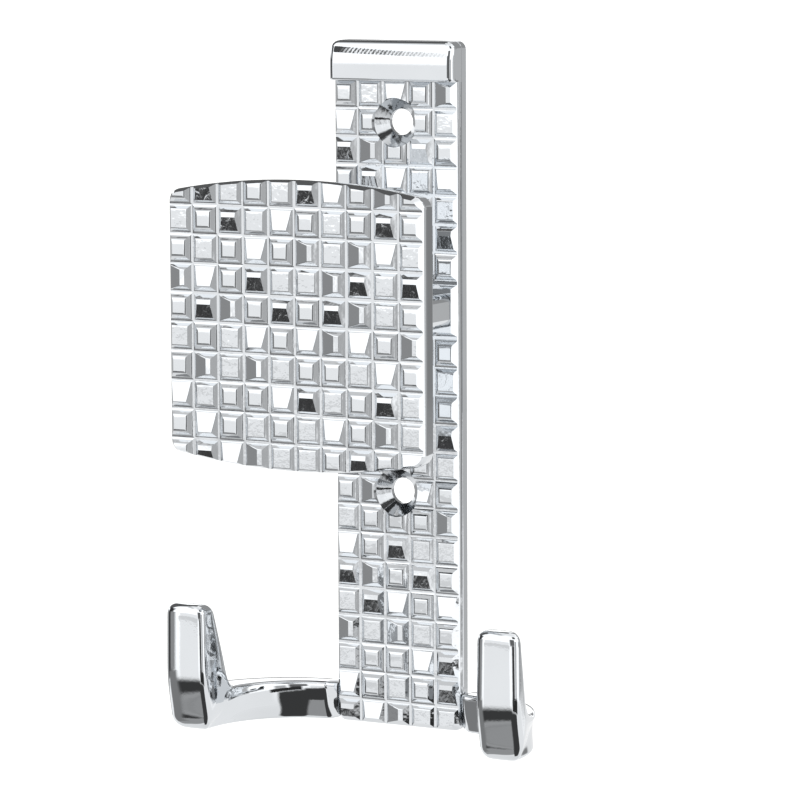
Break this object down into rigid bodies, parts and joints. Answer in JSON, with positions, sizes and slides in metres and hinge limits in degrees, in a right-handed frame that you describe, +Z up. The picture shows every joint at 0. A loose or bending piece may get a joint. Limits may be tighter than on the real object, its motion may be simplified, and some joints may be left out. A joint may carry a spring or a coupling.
{
  "type": "double coat hook",
  "caption": "Wall-mounted double coat hook in polished chrome: a studded back plate with a broad studded pad on a flat neck and a pair of smooth curved hooks at its foot.",
  "frame": {"origin": "on the wall face, on the neck's axis, midway between the two wall-screw holes", "axes": "+Z up the wall along the plate's length, +Y into the wall, +X to the right as seen from the room"},
  "size_m": [0.07, 0.0393, 0.1211],
  "materials": {
    "polished_chrome": "zinc die casting, bright chrome plated, mirror polished",
    "zinced_steel": "steel, bright zinc plated"
  },
  "bodies": {
    "root": {"hook_carrier": "polished_chrome", "face_plate": "polished_chrome", "front_pad": "polished_chrome", "clamp_screw_left": "zinced_steel", "clamp_screw_right": "zinced_steel"}
  },
  "joints": []
}
